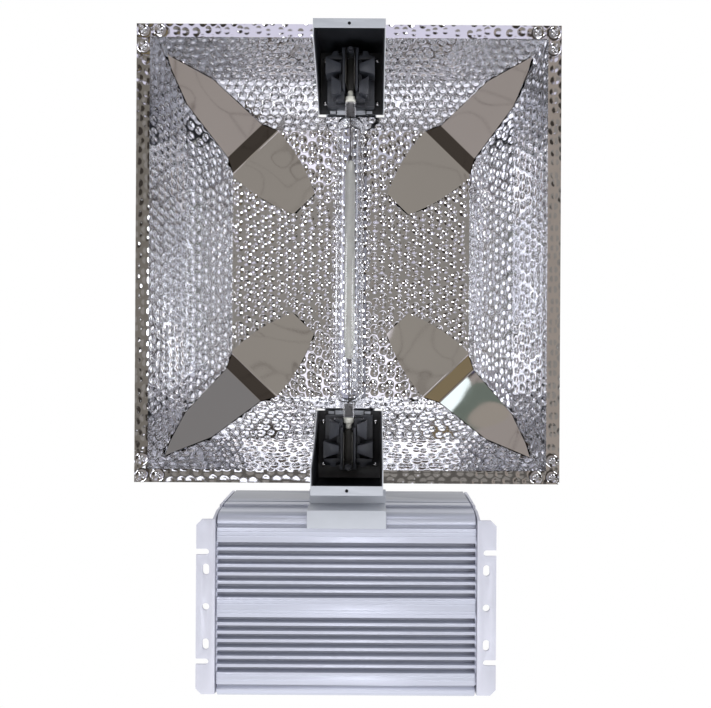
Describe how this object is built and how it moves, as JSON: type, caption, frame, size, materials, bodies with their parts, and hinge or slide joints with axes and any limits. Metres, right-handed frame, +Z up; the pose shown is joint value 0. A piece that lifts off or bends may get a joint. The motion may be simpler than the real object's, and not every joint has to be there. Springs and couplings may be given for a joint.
{
  "type": "grow lamp",
  "caption": "Open horticultural luminaire: dimpled aluminium hood with corner mirrors over a double-ended lamp, and a finned ballast on the same spine.",
  "frame": {"origin": "middle of the footprint, in the plane of the hood's rim, which is the lowest plane of the part", "axes": "+X across the lamp, +Y along the lamp from the hood to the ballast, +Z up as the fixture hangs, so the hood opens towards -Z"},
  "size_m": [0.455, 0.731, 0.141],
  "materials": {
    "hammered": "bright anodised sheet, dimpled all over",
    "mirror": "smooth specular aluminium",
    "housing": "light grey powder coat",
    "black_sheet": "black paint",
    "holder": "dark moulded heat-resistant body",
    "contact": "plated spring steel",
    "quartz": "clear fused quartz",
    "arc_ceramic": "translucent sintered alumina",
    "cap_ceramic": "off-white steatite",
    "extrusion": "silver anodised extrusion",
    "plate": "silver powder coat",
    "gasket": "black foam rubber",
    "screw": "zinc plated",
    "socket": "black moulding",
    "knob": "black moulding with a white pointer",
    "lens": "green translucent",
    "board": "green lacquer",
    "winding": "varnished copper on ferrite",
    "capacitor": "sleeved can",
    "cable": "silicone insulation",
    "wire": "bright wire"
  },
  "bodies": {
    "fixture": {"reflector_side_right": "hammered", "reflector_side_left": "hammered", "reflector_end_near": "hammered", "reflector_end_far": "hammered", "reflector_keel": "hammered", "corner_mirror_near_right": "mirror", "corner_mirror_near_left": "mirror", "corner_mirror_far_right": "mirror", "corner_mirror_far_left": "mirror", "holder_housing_near": "housing", "holder_housing_far": "housing", "holder_liner_near": "black_sheet", "holder_liner_far": "black_sheet", "lampholder_near": "holder", "lampholder_far": "holder", "contact_clip_near": "contact", "contact_clip_far": "contact", "spine": "housing", "neck": "housing", "ballast_saddle": "housing", "ballast_shell": "extrusion", "end_plate_right": "plate", "end_plate_left": "plate", "gasket_right": "gasket", "gasket_left": "gasket", "plate_screw_right_1": "screw", "plate_screw_left_1": "screw", "plate_screw_right_2": "screw", "plate_screw_left_2": "screw", "plate_screw_right_3": "screw", "plate_screw_left_3": "screw", "plate_screw_right_4": "screw", "plate_screw_left_4": "screw", "mains_inlet": "socket", "control_jack_1": "socket", "control_jack_2": "socket", "dimmer_switch": "socket", "status_lens": "lens", "circuit_board": "board", "heat_spreader": "plate", "boost_choke": "winding", "output_choke": "winding", "filter_choke": "winding", "bulk_capacitor_1": "capacitor", "bulk_capacitor_2": "capacitor", "bulk_capacitor_3": "capacitor", "hanger_lug_hood": "plate", "hanger_lug_ballast": "plate", "supply_lead_near": "cable", "supply_lead_far": "cable"},
    "lamp": {"lamp_envelope": "quartz", "arc_tube": "arc_ceramic", "lamp_lead_near": "wire", "lamp_lead_far": "wire", "lamp_cap_near": "cap_ceramic", "lamp_cap_far": "cap_ceramic"},
    "dimmer": {"dimmer_knob": "knob"},
    "hood_hanger": {"hanger_bail_hood": "wire"},
    "ballast_hanger": {"hanger_bail_ballast": "wire"}
  },
  "joints": [
    {"name": "lamp_pull", "type": "slide", "parent": "fixture", "child": "lamp", "axis": [0, 0, -1], "range_m": [0, 0.075]},
    {"name": "dimmer_turn", "type": "hinge", "parent": "fixture", "child": "dimmer", "pos_m": [0.1443, 0.3085, 0.062], "axis": [1, 0, 0], "range_deg": [-135, 135]},
    {"name": "hood_hanger_swing", "type": "hinge", "parent": "fixture", "child": "hood_hanger", "pos_m": [0, -0.0535, 0.136], "axis": [1, 0, 0], "range_deg": [0, 180]},
    {"name": "ballast_hanger_swing", "type": "hinge", "parent": "fixture", "child": "ballast_hanger", "pos_m": [0, 0.2645, 0.136], "axis": [-1, 0, 0], "range_deg": [0, 180]}
  ]
}
